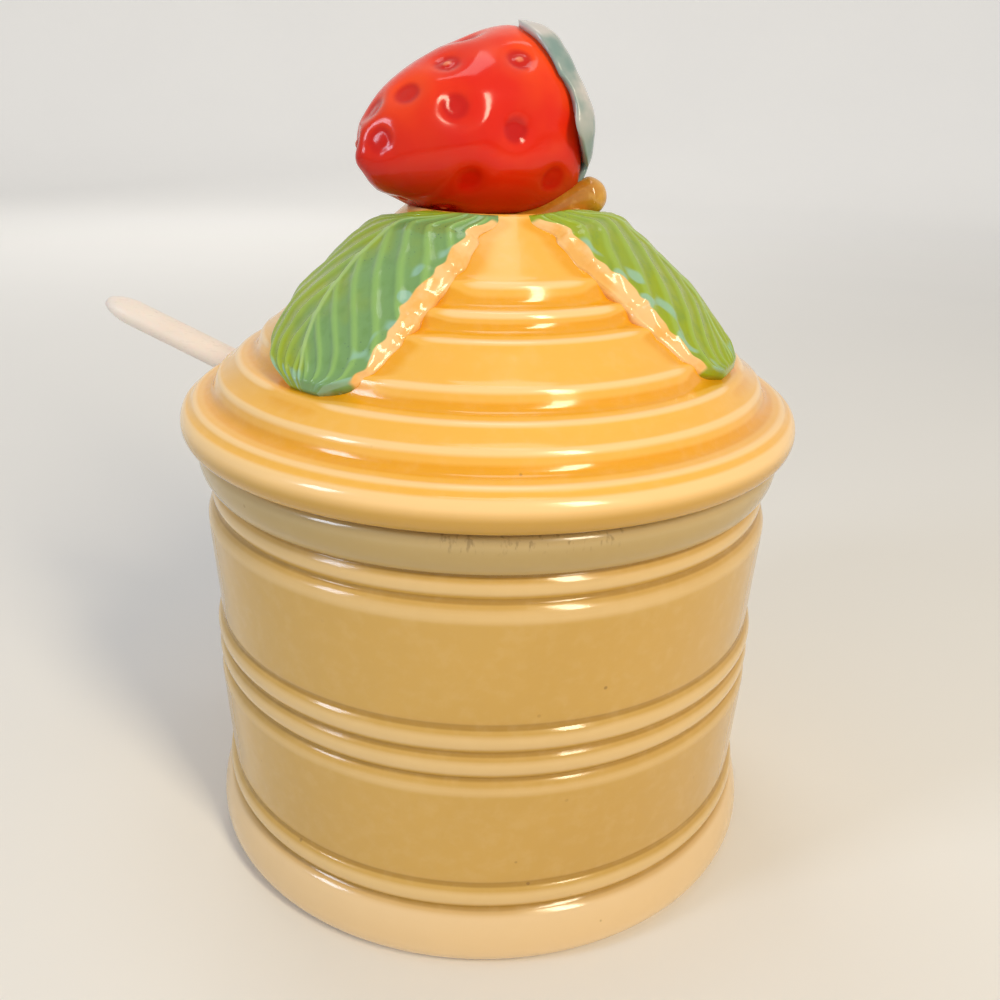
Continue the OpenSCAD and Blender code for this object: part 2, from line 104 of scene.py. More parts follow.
class JamPotColours(bpy.types.PropertyGroup):
    """The colours of the glazes and of the spoon"""
    pot_glaze: colour("Pot glaze", "The plain bands of the pot", 208, 166, 84)
    pot_pool: colour("Pot grooves", "Where the pot's glaze pools", 178, 136, 56)
    pot_thin: colour("Pot edges", "Where the pot's glaze runs thin", 236, 204, 150)
    lid_glaze: colour("Lid glaze", "The plain faces of the lid", 248, 188, 78)
    lid_pool: colour("Lid grooves", "Where the lid's glaze pools", 238, 166, 24)
    lid_thin: colour("Lid edges", "Where the lid's glaze runs thin", 255, 214, 150)
    berry_red: colour("Strawberry", "The strawberry's red glaze", 240, 40, 2)
    berry_deep: colour("Strawberry pits", "The red in the seed pits", 196, 14, 2)
    berry_light: colour("Strawberry edges", "The red where it runs thin", 252, 76, 10)
    calyx_white: colour("Calyx", "The pale glaze of the calyx", 204, 198, 192)
    calyx_green: colour("Calyx hollows", "The tint in the hollows of the calyx", 126, 152, 146)
    twig_brown: colour("Twig", "The amber brown of the twig", 216, 158, 48)
    leaf_blue: colour("Leaf blue green", "The cool green of the leaf fields", 122, 162, 98)
    leaf_green: colour("Leaf green", "The warm green of the leaf fields", 152, 170, 22)
    leaf_vein: colour("Leaf veins", "The pale green of the raised veins", 150, 192, 104)
    leaf_margin: colour("Leaf margin", "The unpainted moulded margin", 250, 202, 136)
    spoon_cream: colour("Spoon", "The cream plastic of the spoon", 240, 230, 220)


KEPT = []


def kept(function):
    """Remembers what a function of the sizes gave, until the next operator runs."""
    made = functools.cache(function)
    KEPT.append(made)
    return made


@kept
def size(name):
    """A size of this pot in millimetres."""
    return getattr(bpy.context.scene.jam_pot_sizes, name) / MM


def tint(name):
    """A colour of this pot with its alpha."""
    return (*getattr(bpy.context.scene.jam_pot_colours, name), 1)


def tone(red, green, blue):
    """A fixed colour with its alpha, in the 0 to 255 steps of a screen."""
    return (*linear(red, green, blue), 1)


def smooth(t):
    """A share held between 0 and 1, with soft ends."""
    t = min(1, max(0, t))
    return t * t * (3 - 2 * t)


def bell(distance, width):
    """1 in the middle of a bump, about a third at its width, and 0 far from it."""
    return exp(-((distance / width) ** 2))


def wander(x, y, z, scale, amount):
    """The slow unevenness of something pressed and glazed by hand, in millimetres."""
    return noise.noise(Vector((x, y, z)) / scale) * amount


# Profiles in millimetres, as radius and height

CURVE_STEPS, INSIDE_STEPS, RIM_STEPS, CONE_STEPS = 8, 16, 16, 160
BEAD_FULLNESS, FOOT_FULLNESS, COLLAR_FULLNESS = 0.7, 0.5, 0.45
BAND_TAPER, BAND_SHOULDER = 0.8, 2.2
FOOT_ROUND, FOOT_RING_W, FOOT_RECESS = 3.2, 5, 1.4
RIM_ROUND, INSIDE_ROUND, FLOOR_Z = 1.6, 4, 6.4
TOP_BEAD_INSET, COLLAR_OVERLAP = 0.8, 0.4
SEAT_GAP, LID_RIM_STEP, LID_LIP, LID_WALL = 0.2, 1.4, 2, 4
PLUG_H, PLUG_T, PLUG_PLAY = 5, 3.2, 0.8
# The cone's grooves: their places as shares of its rise, and the ridges beside them
GROOVE_SHARES = (0.082, 0.284, 0.562, 0.658)
CONE_GROOVE_W, CONE_GROOVE_DEPTH = 0.95, 0.95
RIDGE_OFF, RIDGE_W = 1.6, 0.42
# The lid's flat top: the ease of its edge, and the dish under the strawberry
TOP_EASE_IN, TOP_EASE_DOWN, TOP_DISH_IN, TOP_DISH = 0.5, 0.1, 2.5, 1.3


def swell(z0, z1, r0, r1, steps=12):
    """A bead that swells from one radius towards another and back."""
    return [(r0 + (r1 - r0) * sin(pi * i / steps) ** BEAD_FULLNESS, z0 + (z1 - z0) * i / steps)
            for i in range(1, steps)]


def falling(i):
    """A quarter of a wave in even steps, from 1 to 0."""
    return max(0, cos(pi / 2 * i / CURVE_STEPS))


def band(z0, z1, groove_r, bead_r):
    """A plain band with a tapered foot and a rounded shoulder."""
    shoulder = [(groove_r + (bead_r - groove_r) * falling(i) ** BEAD_FULLNESS,
                 z1 - BAND_SHOULDER + BAND_SHOULDER * i / CURVE_STEPS) for i in range(CURVE_STEPS + 1)]
    return [(groove_r, z0), (bead_r - BAND_TAPER, z0 + size("groove_depth") / 2)] + shoulder


def quarter(r, z, radius, start, end, steps=CURVE_STEPS):
    """An arc round a centre, between two angles in degrees."""
    angles = [radians(start + (end - start) * i / steps) for i in range(steps + 1)]
    return [(r + radius * cos(a), z + radius * sin(a)) for a in angles]


@kept
def heights():
    """The heights of the pot's rings and the lid's seat."""
    h = {"foot": size("foot_h")}
    h["lower"] = h["foot"] + size("bead_h")
    h["low_bead"] = h["lower"] + size("lower_band_h")
    h["high_bead"] = h["low_bead"] + size("bead_h")
    h["upper"] = h["high_bead"] + size("bead_h")
    h["top_bead"] = h["upper"] + size("upper_band_h")
    h["collar"] = h["top_bead"] + size("bead_h") - COLLAR_OVERLAP
    h["rim"] = h["collar"] + size("collar_h")
    h["seat"] = h["rim"] + SEAT_GAP
    h["cone"] = h["seat"] + size("lid_rim_h")
    h["top"] = h["cone"] + size("lid_rise")
    return h


@kept
def radii():
    """The radii of the pot's beads, grooves and foot, and of its collar and mouth."""
    bead = size("body_d") / 2
    return {"bead": bead, "groove": bead - size("groove_depth"), "foot": bead + size("foot_out"),
            "collar": bead + size("collar_out"), "mouth": bead - size("pot_wall")}


def pot_profile():
    """The pot's section, from the middle of its foot round to the middle of its floor."""
    h = heights()
    bead_r, groove_r, foot_r, collar_r, mouth_r = radii().values()
    inset_r = groove_r - TOP_BEAD_INSET
    ring_in = foot_r - FOOT_ROUND - FOOT_RING_W
    base = [(0, FOOT_RECESS), (ring_in - FOOT_RECESS, FOOT_RECESS), (ring_in, 0)]
    foot = (quarter(foot_r - FOOT_ROUND, FOOT_ROUND, FOOT_ROUND, -90, 0)
            + [(groove_r + (foot_r - groove_r) * falling(i) ** FOOT_FULLNESS,
                FOOT_ROUND + (h["foot"] - FOOT_ROUND) * i / CURVE_STEPS) for i in range(1, CURVE_STEPS + 1)])
    wall = (swell(h["foot"], h["lower"], groove_r, bead_r)
            + band(h["lower"], h["low_bead"], groove_r, bead_r)
            + swell(h["low_bead"], h["high_bead"], groove_r, bead_r) + [(groove_r, h["high_bead"])]
            + swell(h["high_bead"], h["upper"], groove_r, bead_r)
            + band(h["upper"], h["top_bead"], groove_r, bead_r)
            + swell(h["top_bead"], h["collar"], inset_r, bead_r - TOP_BEAD_INSET))
    collar = [(inset_r + (collar_r - inset_r) * sin(pi / 2 * i / CURVE_STEPS) ** COLLAR_FULLNESS,
               h["collar"] + (size("collar_h") - RIM_ROUND) * i / CURVE_STEPS)
              for i in range(CURVE_STEPS + 1)]
    rim = (quarter(collar_r - RIM_ROUND, h["rim"] - RIM_ROUND, RIM_ROUND, 0, 90)
           + quarter(mouth_r + RIM_ROUND, h["rim"] - RIM_ROUND, RIM_ROUND, 90, 180))
    inner = quarter(mouth_r - INSIDE_ROUND, FLOOR_Z + INSIDE_ROUND, INSIDE_ROUND, 0, -90, INSIDE_STEPS)
    return base + foot + wall + collar + rim + inner + [(0, FLOOR_Z)]


@kept
def lid_sizes():
    """The heights, the radii of the lid and of its cone's foot, and the cone's run and slant per rise."""
    h = heights()
    lid_r = radii()["collar"] + size("lid_out")
    foot_r = lid_r - LID_RIM_STEP
    run = (foot_r - size("lid_top_d") / 2) / size("lid_rise")
    return h, lid_r, foot_r, run, hypot(1, run)


def cone_height(r):
    h, _, foot_r, run, _ = lid_sizes()
    return h["cone"] + (foot_r - r) / run


def on_cone(r, angle, lift):
    """A place on the lid's cone, raised along its normal, at an angle from the front towards +x."""
    _, _, _, run, stretch = lid_sizes()
    out = r + lift / stretch
    a = radians(angle)
    return Vector((out * sin(a), -out * cos(a), cone_height(r) + lift * run / stretch))


def lid_profile():
    """The lid's section, from the middle of its ceiling round to the middle of its top."""
    h, lid_r, foot_r, run, stretch = lid_sizes()
    plug_r = radii()["mouth"] - PLUG_PLAY
    plug_in, plug_low = plug_r - PLUG_T, h["seat"] - PLUG_H
    rim = []
    for i in range(RIM_STEPS + 1):
        a = radians(-90 + 180 * i / RIM_STEPS)
        start = lid_r - LID_LIP if a < 0 else foot_r
        rim.append((start + (lid_r - start) * cos(a),
                    h["seat"] + size("lid_rim_h") / 2 * (1 + sin(a))))
    cone = []
    for i in range(1, CONE_STEPS):
        z = h["cone"] + size("lid_rise") * i / CONE_STEPS
        offsets = [z - h["cone"] - share * size("lid_rise") for share in GROOVE_SHARES]
        dip = max(bell(d, CONE_GROOVE_W) for d in offsets)
        ridge = max(bell(abs(d) - RIDGE_OFF, RIDGE_W) for d in offsets)
        lift = size("lid_ridge") * ridge * (1 - dip) - CONE_GROOVE_DEPTH * dip
        cone.append((foot_r - run * (z - h["cone"]) + lift / stretch, z + lift * run / stretch))
    ceiling = h["top"] - LID_WALL
    top_in = max(foot_r - run * (ceiling - h["cone"]) - LID_WALL * stretch, LID_WALL)
    under = [(0, ceiling), (top_in, ceiling), (plug_in, cone_height(plug_in + LID_WALL * stretch)),
             (plug_in, plug_low)]
    plug = [(plug_r, plug_low), (plug_r, h["seat"])]
    edge_r, dish_z = size("lid_top_d") / 2, h["top"] - TOP_DISH
    top = [(edge_r - TOP_EASE_IN, h["top"] - TOP_EASE_DOWN), (edge_r - TOP_DISH_IN, dish_z), (0, dish_z)]
    return under + plug + rim + cone + top


# How far a corner is rounded, and how wide and deep a hollow that fills with glaze is
BLUR_REACH, BLUR_SPREAD = 2.5, 1.414
POOL_WIDTH, POOL_DEPTH = 1.1, 0.24
WELD = 1e-7


def softened(points, step, blur):
    """Equal steps along a profile, with its corners rounded as glaze rounds them."""
    points = [Vector(p) for p in points]
    ends = [0.0]
    for a, b in zip(points, points[1:]):
        ends.append(ends[-1] + (b - a).length)
    count = round(ends[-1] / step)
    even, k = [], 0
    for i in range(count + 1):
        s = ends[-1] * i / count
        while k < len(points) - 2 and ends[k + 1] < s:
            k += 1
        span = ends[k + 1] - ends[k]
        even.append(points[k].lerp(points[k + 1], (s - ends[k]) / span if span else 0))
    return blurred(even, blur / step)


def blurred(points, width):
    reach = ceil(BLUR_REACH * width)
    weights = [bell(j, width * BLUR_SPREAD) for j in range(-reach, reach + 1)]
    out = []
    for i in range(len(points)):
        room = min(i, len(points) - 1 - i, reach)
        used = range(-room, room + 1)
        whole = sum(weights[j + reach] for j in used)
        out.append(sum((points[i + j] * weights[j + reach] for j in used), Vector((0, 0))) / whole)
    return out


def pooling(profile, step):
    """How deep each place lies below its surroundings, from -1 on an edge to 1 in a groove."""
    wide = blurred(profile, POOL_WIDTH / step)
    pools = []
    for i, point in enumerate(profile):
        along = profile[min(i + 1, len(profile) - 1)] - profile[max(i - 1, 0)]
        outward = Vector((along.y, -along.x)).normalized()
        pools.append(max(-1, min(1, (wide[i] - point).dot(outward) / POOL_DEPTH)))
    return pools


def turn_outwards(bm):
    """Turns the faces of a closed shell outwards; its volume shows a small one that came out inside out."""
    bmesh.ops.recalc_face_normals(bm, faces=bm.faces)
    if bm.calc_volume(signed=True) < 0:
        bmesh.ops.reverse_faces(bm, faces=bm.faces)


def turned(profile, step, segments):
    """A profile spun full circle, with the pooling of its glaze kept for the material."""
    bm = bmesh.new()
    verts = [bm.verts.new((p.x * MM, 0, p.y * MM)) for p in profile]
    edges = [bm.edges.new(pair) for pair in zip(verts, verts[1:])]
    bmesh.ops.spin(bm, geom=verts + edges, cent=(0, 0, 0), axis=(0, 0, 1), dvec=(0, 0, 0),
                   angle=2 * pi, steps=segments, use_merge=True, use_duplicate=False)
    bmesh.ops.remove_doubles(bm, verts=bm.verts, dist=WELD)
    turn_outwards(bm)
    pool = bm.verts.layers.float.new("pool")
    pools = pooling(profile, step)
    tree = kdtree.KDTree(len(profile))
    for i, p in enumerate(profile):
        tree.insert((p.x * MM, p.y * MM, 0), i)
    tree.balance()
    for v in bm.verts:
        v[pool] = pools[tree.find((hypot(v.co.x, v.co.y), v.co.z, 0))[1]]
    return bm


def linked(name, data):
    """A new object in the scene."""
    made = bpy.data.objects.new(name, data)
    bpy.context.scene.collection.objects.link(made)
    return made


def placed(name, bm):
    """An object in the scene with the mesh of a bmesh, which is freed."""
    mesh = bpy.data.meshes.new(name)
    bm.to_mesh(mesh)
    bm.free()
    return linked(name, mesh)


def make_piece(name, bm, body, slot, material, *nodes):
    """A finished piece that rides on a body and stands in for its CAD nodes."""
    turn_outwards(bm)
    piece = placed(name, bm)
    piece.data.shade_smooth()
    piece.data.materials.append(material)
    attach(piece, body)
    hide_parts(*nodes)
    return piece


# Materials

def start_material(name):
    """An empty material, its nodes, and a point's place on the object, whole and as its X, Y and Z."""
    material = bpy.data.materials.new(name)
    material.use_nodes = True
    tree = material.node_tree
    tree.nodes.clear()
    place = node(tree, "TexCoord").outputs["Object"]
    return material, tree, place, node(tree, "SeparateXYZ", {"Vector": place}).outputs


def node(tree, kind, values=None, **settings):
    """A new node, its inputs linked where a value is a socket and set where it isn't."""
    made = tree.nodes.new("ShaderNode" + kind)
    for key, value in settings.items():
        setattr(made, key, value)
    for key, value in (values or {}).items():
        if isinstance(value, bpy.types.NodeSocket):
            tree.links.new(value, made.inputs[key])
        else:
            made.inputs[key].default_value = value
    return made


# The Mix node has several sockets of one name, so those for colours go by number
MIX_COLOUR_INPUTS, MIX_COLOUR_OUTPUT = (0, 6, 7), 2


def mixed(tree, share, first, second):
    """The first colour, with a share of the second over it."""
    inputs = dict(zip(MIX_COLOUR_INPUTS, (share, first, second)))
    return node(tree, "Mix", inputs, data_type="RGBA").outputs[MIX_COLOUR_OUTPUT]


def layered(tree, shade, *layers):
    """A colour with others laid over it in turn, each given with its share."""
    for share, colour_over in layers:
        shade = mixed(tree, share, shade, colour_over)
    return shade


def maths(tree, operation, first, second):
    return node(tree, "Math", {0: first, 1: second}, operation=operation).outputs[0]


def times(tree, first, second):
    return maths(tree, "MULTIPLY", first, second)


def ramp(tree, value, low, high, start=0.0, end=1.0):
    """Eases from the start to the end as the value goes from low to high."""
    return node(tree, "MapRange", {0: value, 1: low, 2: high, 3: start, 4: end},
                interpolation_type="SMOOTHSTEP").outputs[0]


def fade(tree, place, start, end):
    """From 0 to 1 between two places given in millimetres."""
    return ramp(tree, place, start * MM, end * MM)


def cloud(tree, place, scale, detail=2.0, roughness=0.5):
    """Soft noise, mostly between 0.3 and 0.7."""
    return node(tree, "TexNoise", {"Vector": place, "Scale": scale, "Detail": detail,
                                             "Roughness": roughness}).outputs["Fac"]


def mottle(tree, place, scale, detail, *limits):
    return ramp(tree, cloud(tree, place, scale, detail), *limits)


def marked(tree, name, *limits):
    """What a piece's vertices say, as a share, eased between limits."""
    return ramp(tree, node(tree, "Attribute", attribute_name=name).outputs["Fac"], *limits)


def drawn_out(tree, place, scale, rotation=(0, 0, 0)):
    """Places for a pattern that is drawn out along the axes with a scale below 1."""
    return node(tree, "Mapping", {"Vector": place, "Rotation": rotation, "Scale": scale}).outputs[0]


def bump(tree, height, strength, distance, **inputs):
    return node(tree, "Bump", {"Height": height, "Strength": strength, "Distance": distance,
                                         **inputs}).outputs[0]


def specks(tree, place, scale, reach, patches):
    """Small round specks, in patches."""
    cells = node(tree, "TexVoronoi", {"Vector": place, "Scale": scale}).outputs["Distance"]
    spots = ramp(tree, cells, reach, reach * 0.45)
    return times(tree, spots, ramp(tree, cloud(tree, place, patches), 0.5, 0.62))


def surfaced(material, inputs):
    """The material, with its surface made from these inputs."""
    shader = node(material.node_tree, "BsdfPrincipled", inputs)
    node(material.node_tree, "OutputMaterial", {"Surface": shader.outputs[0]})
    return material


# Depths of the glaze's unevenness in metres, and the smoothness of its skin
SLOW_BUMP, FINE_BUMP, FINE_SHARE, COAT_ROUGHNESS = 0.002, 0.0002, 0.6, 0.04


def finish_glaze(material, shade, place, gloss_low, gloss_high, skin, coat=0.5, ior=1.45):
    """The wet look of a fired glaze: an uneven clear skin over the colour."""
    tree = material.node_tree
    rough = mottle(tree, place, 120, 3, 0.3, 0.7, gloss_low, gloss_high)
    slow = bump(tree, cloud(tree, place, 90, 2), skin, SLOW_BUMP)
    fine = bump(tree, cloud(tree, place, 900, 2), skin * FINE_SHARE, FINE_BUMP, Normal=slow)
    return surfaced(material, {
        "Base Color": shade, "Roughness": rough, "IOR": ior, "Coat Weight": coat,
        "Coat Roughness": COAT_ROUGHNESS, "Normal": fine, "Coat Normal": slow})


def turned_glaze(name, base, pool, thin, edge, extra):
    """Glaze on turned ware: dark where it pools in a groove, pale where it runs off an edge."""
    material, tree, place, parts = start_material(name)
    pooled = node(tree, "Attribute", attribute_name="pool").outputs["Fac"]
    drift = maths(tree, "SUBTRACT", cloud(tree, place, 38, 3), 0.5)
    depth = maths(tree, "ADD", pooled, times(tree, drift, 0.35))
    shade = layered(
        tree, tint(base), (mottle(tree, place, 22, 2, 0.35, 0.7, 0, 0.22), tint(pool)),
        (ramp(tree, depth, 0.1, 0.7), tint(pool)), (ramp(tree, depth, -0.2, -0.85, 0, edge), tint(thin)),
        (ramp(tree, cloud(tree, place, 420, 4, 0.6), 0.42, 0.75, 0, 0.1), tint(thin)))
    shade = extra(tree, place, parts, shade)
    shade = mixed(tree, times(tree, specks(tree, place, 210, 0.075, 60), 0.55), shade, tone(120, 84, 40))
    return finish_glaze(material, shade, place, 0.12, 0.22, 0.05, 0.25)


def pot_marks(tree, place, parts, shade):
    """The greener glaze on the collar, the paler one on the foot, and small flaws under the lid's front."""
    h = heights()
    # Painted shade in part: the collar, under the lid's overhang, is dulled to a grey olive.
    collar = fade(tree, parts["Z"], h["collar"] + 0.2, h["collar"] + 0.9)
    foot = fade(tree, parts["Z"], h["foot"], h["foot"] - 1.2)
    nicks = ramp(tree, cloud(tree, drawn_out(tree, place, (1, 1, 0.35)), 1500, 3), 0.54, 0.7)
    near_rim = fade(tree, parts["Z"], h["rim"] - 2.9, h["rim"] - 1.6)
    front = times(tree, fade(tree, parts["X"], -8, -5), fade(tree, parts["X"], 19, 15))
    front = times(tree, front, fade(tree, parts["Y"], 0, -10))
    flaws = times(tree, times(tree, nicks, near_rim), times(tree, front, 0.38))
    return layered(tree, shade, (times(tree, collar, 0.65), tone(172, 152, 104)),
                   (times(tree, foot, 0.75), tone(240, 208, 162)), (flaws, tone(96, 76, 48)))


def lid_marks(tree, place, parts, shade):
    """The deeper amber under the lid's rim."""
    seat = heights()["seat"]
    # Painted shade in part: the lower half of the rim, which faces down, is darkened to olive amber.
    under = fade(tree, parts["Z"], seat + 3.9, seat + 2.1)
    return mixed(tree, times(tree, under, 0.9), shade, tone(196, 150, 56))


def berry_material():
    """Red glaze, deeper in the pits and towards the tip, and amber low on the calyx side."""
    material, tree, place, parts = start_material("strawberry_red")
    top, deep = heights()["top"], tint("berry_deep")
    # Painted shade: the lower left, towards the tip, is darkened to the pits' red, and the underside to red
    # brown.
    lower_left_shade = times(tree, fade(tree, parts["X"], 2, -8), fade(tree, parts["Z"], top + 17, top + 8))
    low = fade(tree, parts["Z"], top + 8, top + 0.5)
    calyx_end = times(tree, low, fade(tree, parts["X"], 2, 12))
    # Among these layers, the deep red towards the tip and the red brown low down are painted shade.
    shade = layered(
        tree, tint("berry_red"), (mottle(tree, place, 70, 3, 0.38, 0.68), tint("berry_light")),
        (mottle(tree, place, 30, 2, 0.45, 0.7, 0, 0.4), deep), (times(tree, lower_left_shade, 0.6), deep),
        (times(tree, low, 0.55), tone(150, 36, 12)), (times(tree, calyx_end, 0.6), tone(186, 84, 24)),
        (marked(tree, "pit", 0.2, 0.85, 0, 0.85), deep),
        (marked(tree, "seed", 0.4, 0.9, 0, 0.7), tone(246, 150, 108)))
    return finish_glaze(material, shade, place, 0.1, 0.18, 0.05, 0.1, 1.36)


def calyx_material():
    material, tree, place, _ = start_material("calyx_pale")
    shade = layered(tree, tint("calyx_white"), (mottle(tree, place, 130, 3, 0.4, 0.65), tint("calyx_green")),
                    (marked(tree, "hollow", 0.2, 0.9), tint("calyx_green")))
    return finish_glaze(material, shade, place, 0.12, 0.22, 0.06)


def twig_material():
    material, tree, place, _ = start_material("twig_amber")
    shade = layered(tree, tint("twig_brown"), (mottle(tree, place, 160, 3, 0.35, 0.7), tone(186, 122, 30)),
                    (mottle(tree, place, 700, 3, 0.5, 0.75, 0, 0.4), tone(232, 186, 92)))
    return finish_glaze(material, shade, place, 0.12, 0.2, 0.08)


def leaf_material(name, warmth):
    """Underglaze green brushed over veins, its cool pools, and the bare moulded margin."""
    material, tree, place, _ = start_material(name)
    outer = marked(tree, "side", 0.35, -0.35)
    warm = maths(tree, "ADD", mottle(tree, place, 90, 3, 0.35, 0.7, -0.3, 0.3),
                 times(tree, outer, 0.75))
    warm = ramp(tree, maths(tree, "ADD", warm, warmth), 0.1, 0.9)
    streaks = cloud(tree, drawn_out(tree, place, (1, 1, 0.4)), 520, 3)
    lit = ramp(tree, maths(tree, "ADD", outer, warmth), 0, 1.6)
    vein = mixed(tree, lit, tint("leaf_vein"), tone(166, 186, 62))
    stain = mottle(tree, place, 300, 3, 0.42, 0.66, 0, 0.55)
    bare = mixed(tree, stain, tint("leaf_margin"), tint("lid_pool"))
    shade = layered(
        tree, tint("leaf_blue"), (warm, tint("leaf_green")),
        (ramp(tree, streaks, 0.45, 0.75, 0, 0.4), tone(104, 144, 70)),
        (times(tree, specks(tree, place, 1500, 0.22, 160), 0.5), tone(48, 74, 88)),
        (marked(tree, "vein", 0.15, 0.95, 0, 0.65), vein),
        (marked(tree, "midrib", 0.3, 0.8, 0, 0.65), tone(178, 208, 132)),
        (marked(tree, "cool", 0.15, 1.1, 0, 0.75), tone(150, 194, 172)),
        (marked(tree, "bare", 0.3, 0.7), bare))
    return finish_glaze(material, shade, place, 0.1, 0.2, 0.06, 0.2, 1.4)


def spoon_material():
    """Cream plastic, a little translucent, with fine scuffs along the handle."""
    material, tree, place, _ = start_material("spoon_cream_plastic")
    marks = cloud(tree, drawn_out(tree, place, (0.12, 1, 1), (0, 0.3, 0.35)), 2600, 3, 0.6)
    drift = mottle(tree, place, 60, 3, 0.35, 0.7, 0, 0.35)
    shade = layered(tree, tint("spoon_cream"), (drift, tone(226, 206, 190)),
                    (ramp(tree, marks, 0.62, 0.8, 0, 0.18), tone(190, 168, 150)))
    return surfaced(material, {
        "Base Color": shade, "Roughness": ramp(tree, marks, 0.3, 0.75, 0.26, 0.42), "IOR": 1.49,
        "Subsurface Weight": 0.12, "Subsurface Scale": 0.002, "Normal": bump(tree, marks, 0.08, FINE_BUMP)})


def seen_ray(tree):
    """1 where the backdrop is looked at, straight on, in a gloss or through something clear."""
    rays = node(tree, "LightPath").outputs
    clear = maths(tree, "MAXIMUM", rays["Is Glossy Ray"], rays["Is Transmission Ray"])
    return maths(tree, "MAXIMUM", rays["Is Camera Ray"], clear)


def stage_material(name, red, green, blue):
    """Matt paper that glows a little at the back, only where it is seen."""
    material, tree, place, parts = start_material(name)
    paper = mixed(tree, mottle(tree, place, 6, 3, 0.35, 0.7, 0, 0.1), tone(red, green, blue),
                  tone(red - 14, green - 14, blue - 12))
    far = times(tree, ramp(tree, parts["Y"], 0.1, 1.2, 0, 0.42), seen_ray(tree))
    return surfaced(material, {"Base Color": paper, "Roughness": 0.85, "Emission Color": paper,
                               "Emission Strength": far})


# The strawberry, its calyx and twig, in millimetres and degrees

BERRY_SHOULDER, BERRY_TAPER, BERRY_TURN, BERRY_DIP = 6.8, 1.2, 38, 10.5
BERRY_RIGHT, BERRY_BEHIND, BERRY_BED = 2.7, 6.5, 2.3
PIT_FLAT, PIT_EDGE, PIT_SUNK, SEED_W, SEED_L = 0.9, 1.15, 0.15, 0.7, 0.9
# The skin swells a little between the pits, and more at one place low on the calyx side
PUFF, PUFF_FROM, PUFF_RUN = 0.2, 2, 3
HEEL, HEEL_ALONG, HEEL_ALONG_W, HEEL_AROUND, HEEL_AROUND_W = 2, 84, 22, 222, 26
# Places of the seed pits: degrees from the calyx end, and degrees round from the top
PITS = (
    (99, 318), (119, 340), (137, 338), (126, 302), (109, 274), (96, 238), (125, 242), (159, 310), (148, 12),
    (103, 4), (100, 55), (100, 100), (100, 150), (114, 32), (114, 80), (114, 125), (114, 172),
    (128, 55), (128, 105), (128, 150), (128, 198), (143, 180), (143, 120), (143, 75), (160, 120), (161, 60))
# The pits that hold a raised pip
PIPS = PITS[:2] + PITS[10:]
FAR = 99.0


@kept
def berry_outline(along):
    """How far along its axis and how far from it the skin lies, at an angle from the calyx end."""
    a = radians(along)
    r = size("berry_d") / 2
    if along < 90:
        return BERRY_SHOULDER * cos(a), r * sin(a)
    return (size("berry_l") - BERRY_SHOULDER) * cos(a), r * max(0, sin(a)) ** BERRY_TAPER


def berry_point(along, around, lift):
    """A place on the strawberry, in millimetres, raised by a lift."""
    x, r = berry_outline(along)
    r += lift * sin(radians(along))
    x += lift * cos(radians(along))
    a, dip, turn = radians(around), radians(BERRY_DIP), radians(BERRY_TURN)
    low = hypot(size("berry_d") / 2 * cos(dip), (size("berry_l") - BERRY_SHOULDER) * sin(dip))
    px, py = x * cos(dip) - r * cos(a) * sin(dip), r * sin(a)
    return Vector((BERRY_RIGHT + px * cos(turn) - py * sin(turn),
                   BERRY_BEHIND + px * sin(turn) + py * cos(turn),
                   heights()["top"] - BERRY_BED + low + x * sin(dip) + r * cos(a) * cos(dip)))


def pit_distance(along, around):
    """Distance to the nearest seed pit, across and along the strawberry, in millimetres."""
    x, r = berry_outline(along)
    best = (FAR, FAR, FAR)
    for a, b in PITS:
        px, pr = berry_outline(a)
        turn = abs(around - b) % 360
        across = radians(min(turn, 360 - turn)) * min(r, pr)
        reach = hypot(x - px, r - pr)
        best = min(best, (hypot(across, reach), across, reach if (a, b) in PIPS else FAR))
    return best


def round_form(rings, sides, *names):
    """A sphere to be drawn out into a closed form; each vertex comes with its two angles in degrees."""
    bm = bmesh.new()
    bmesh.ops.create_uvsphere(bm, u_segments=sides, v_segments=rings, radius=1)
    layers = [bm.verts.layers.float.new(name) for name in names]
    angles = []
    for v in bm.verts:
        co = v.co.normalized()
        down = degrees(acos(max(-1, min(1, co.z))))
        angles.append((v, down, degrees(atan2(co.y, co.x)) % 360))
    return (bm, angles, *layers)


def make_strawberry():
    bm, angles, pit, seed = round_form(150, 200, "pit", "seed")
    for v, along, around in angles:
        distance, across, reach = pit_distance(along, around)
        hollow = bell(max(0, distance - PIT_FLAT), PIT_EDGE)
        grain = bell(across, SEED_W) * bell(reach, SEED_L)
        bulge = PUFF * smooth((distance - PUFF_FROM) / PUFF_RUN)
        bulge += HEEL * bell(along - HEEL_ALONG, HEEL_ALONG_W) * bell(around - HEEL_AROUND, HEEL_AROUND_W)
        lift = bulge - PIT_SUNK - size("pit_depth") * hollow + size("seed_h") * grain
        place = berry_point(along, around, 0)
        v.co = berry_point(along, around, lift + wander(*place, 9, 0.18)) * MM
        v[pit], v[seed] = hollow, grain
    return make_piece("strawberry_knob", bm, "lid", "berry_glaze", berry_material(), "strawberry")


SEPALS, SEPAL_START, SEPAL_INNER, SEPAL_TIP = 6, 30, 66, 92
# Where round the strawberry the sepals are short, run together and curl away
SHORT_SIDE, SHORT_WIDE, SHORT_DEEP, SHORT_BY = 30, 40, 30, 16
NEAR_TOP, NEAR_TOP_W, NEAR_TOP_REACH = 318, 30, 91
CURLED_SIDE, CURLED_W, CURL, TIP_CURL = 250, 34, 1.5, 0.4
RIB_W, RIB_H = 0.12, 0.25


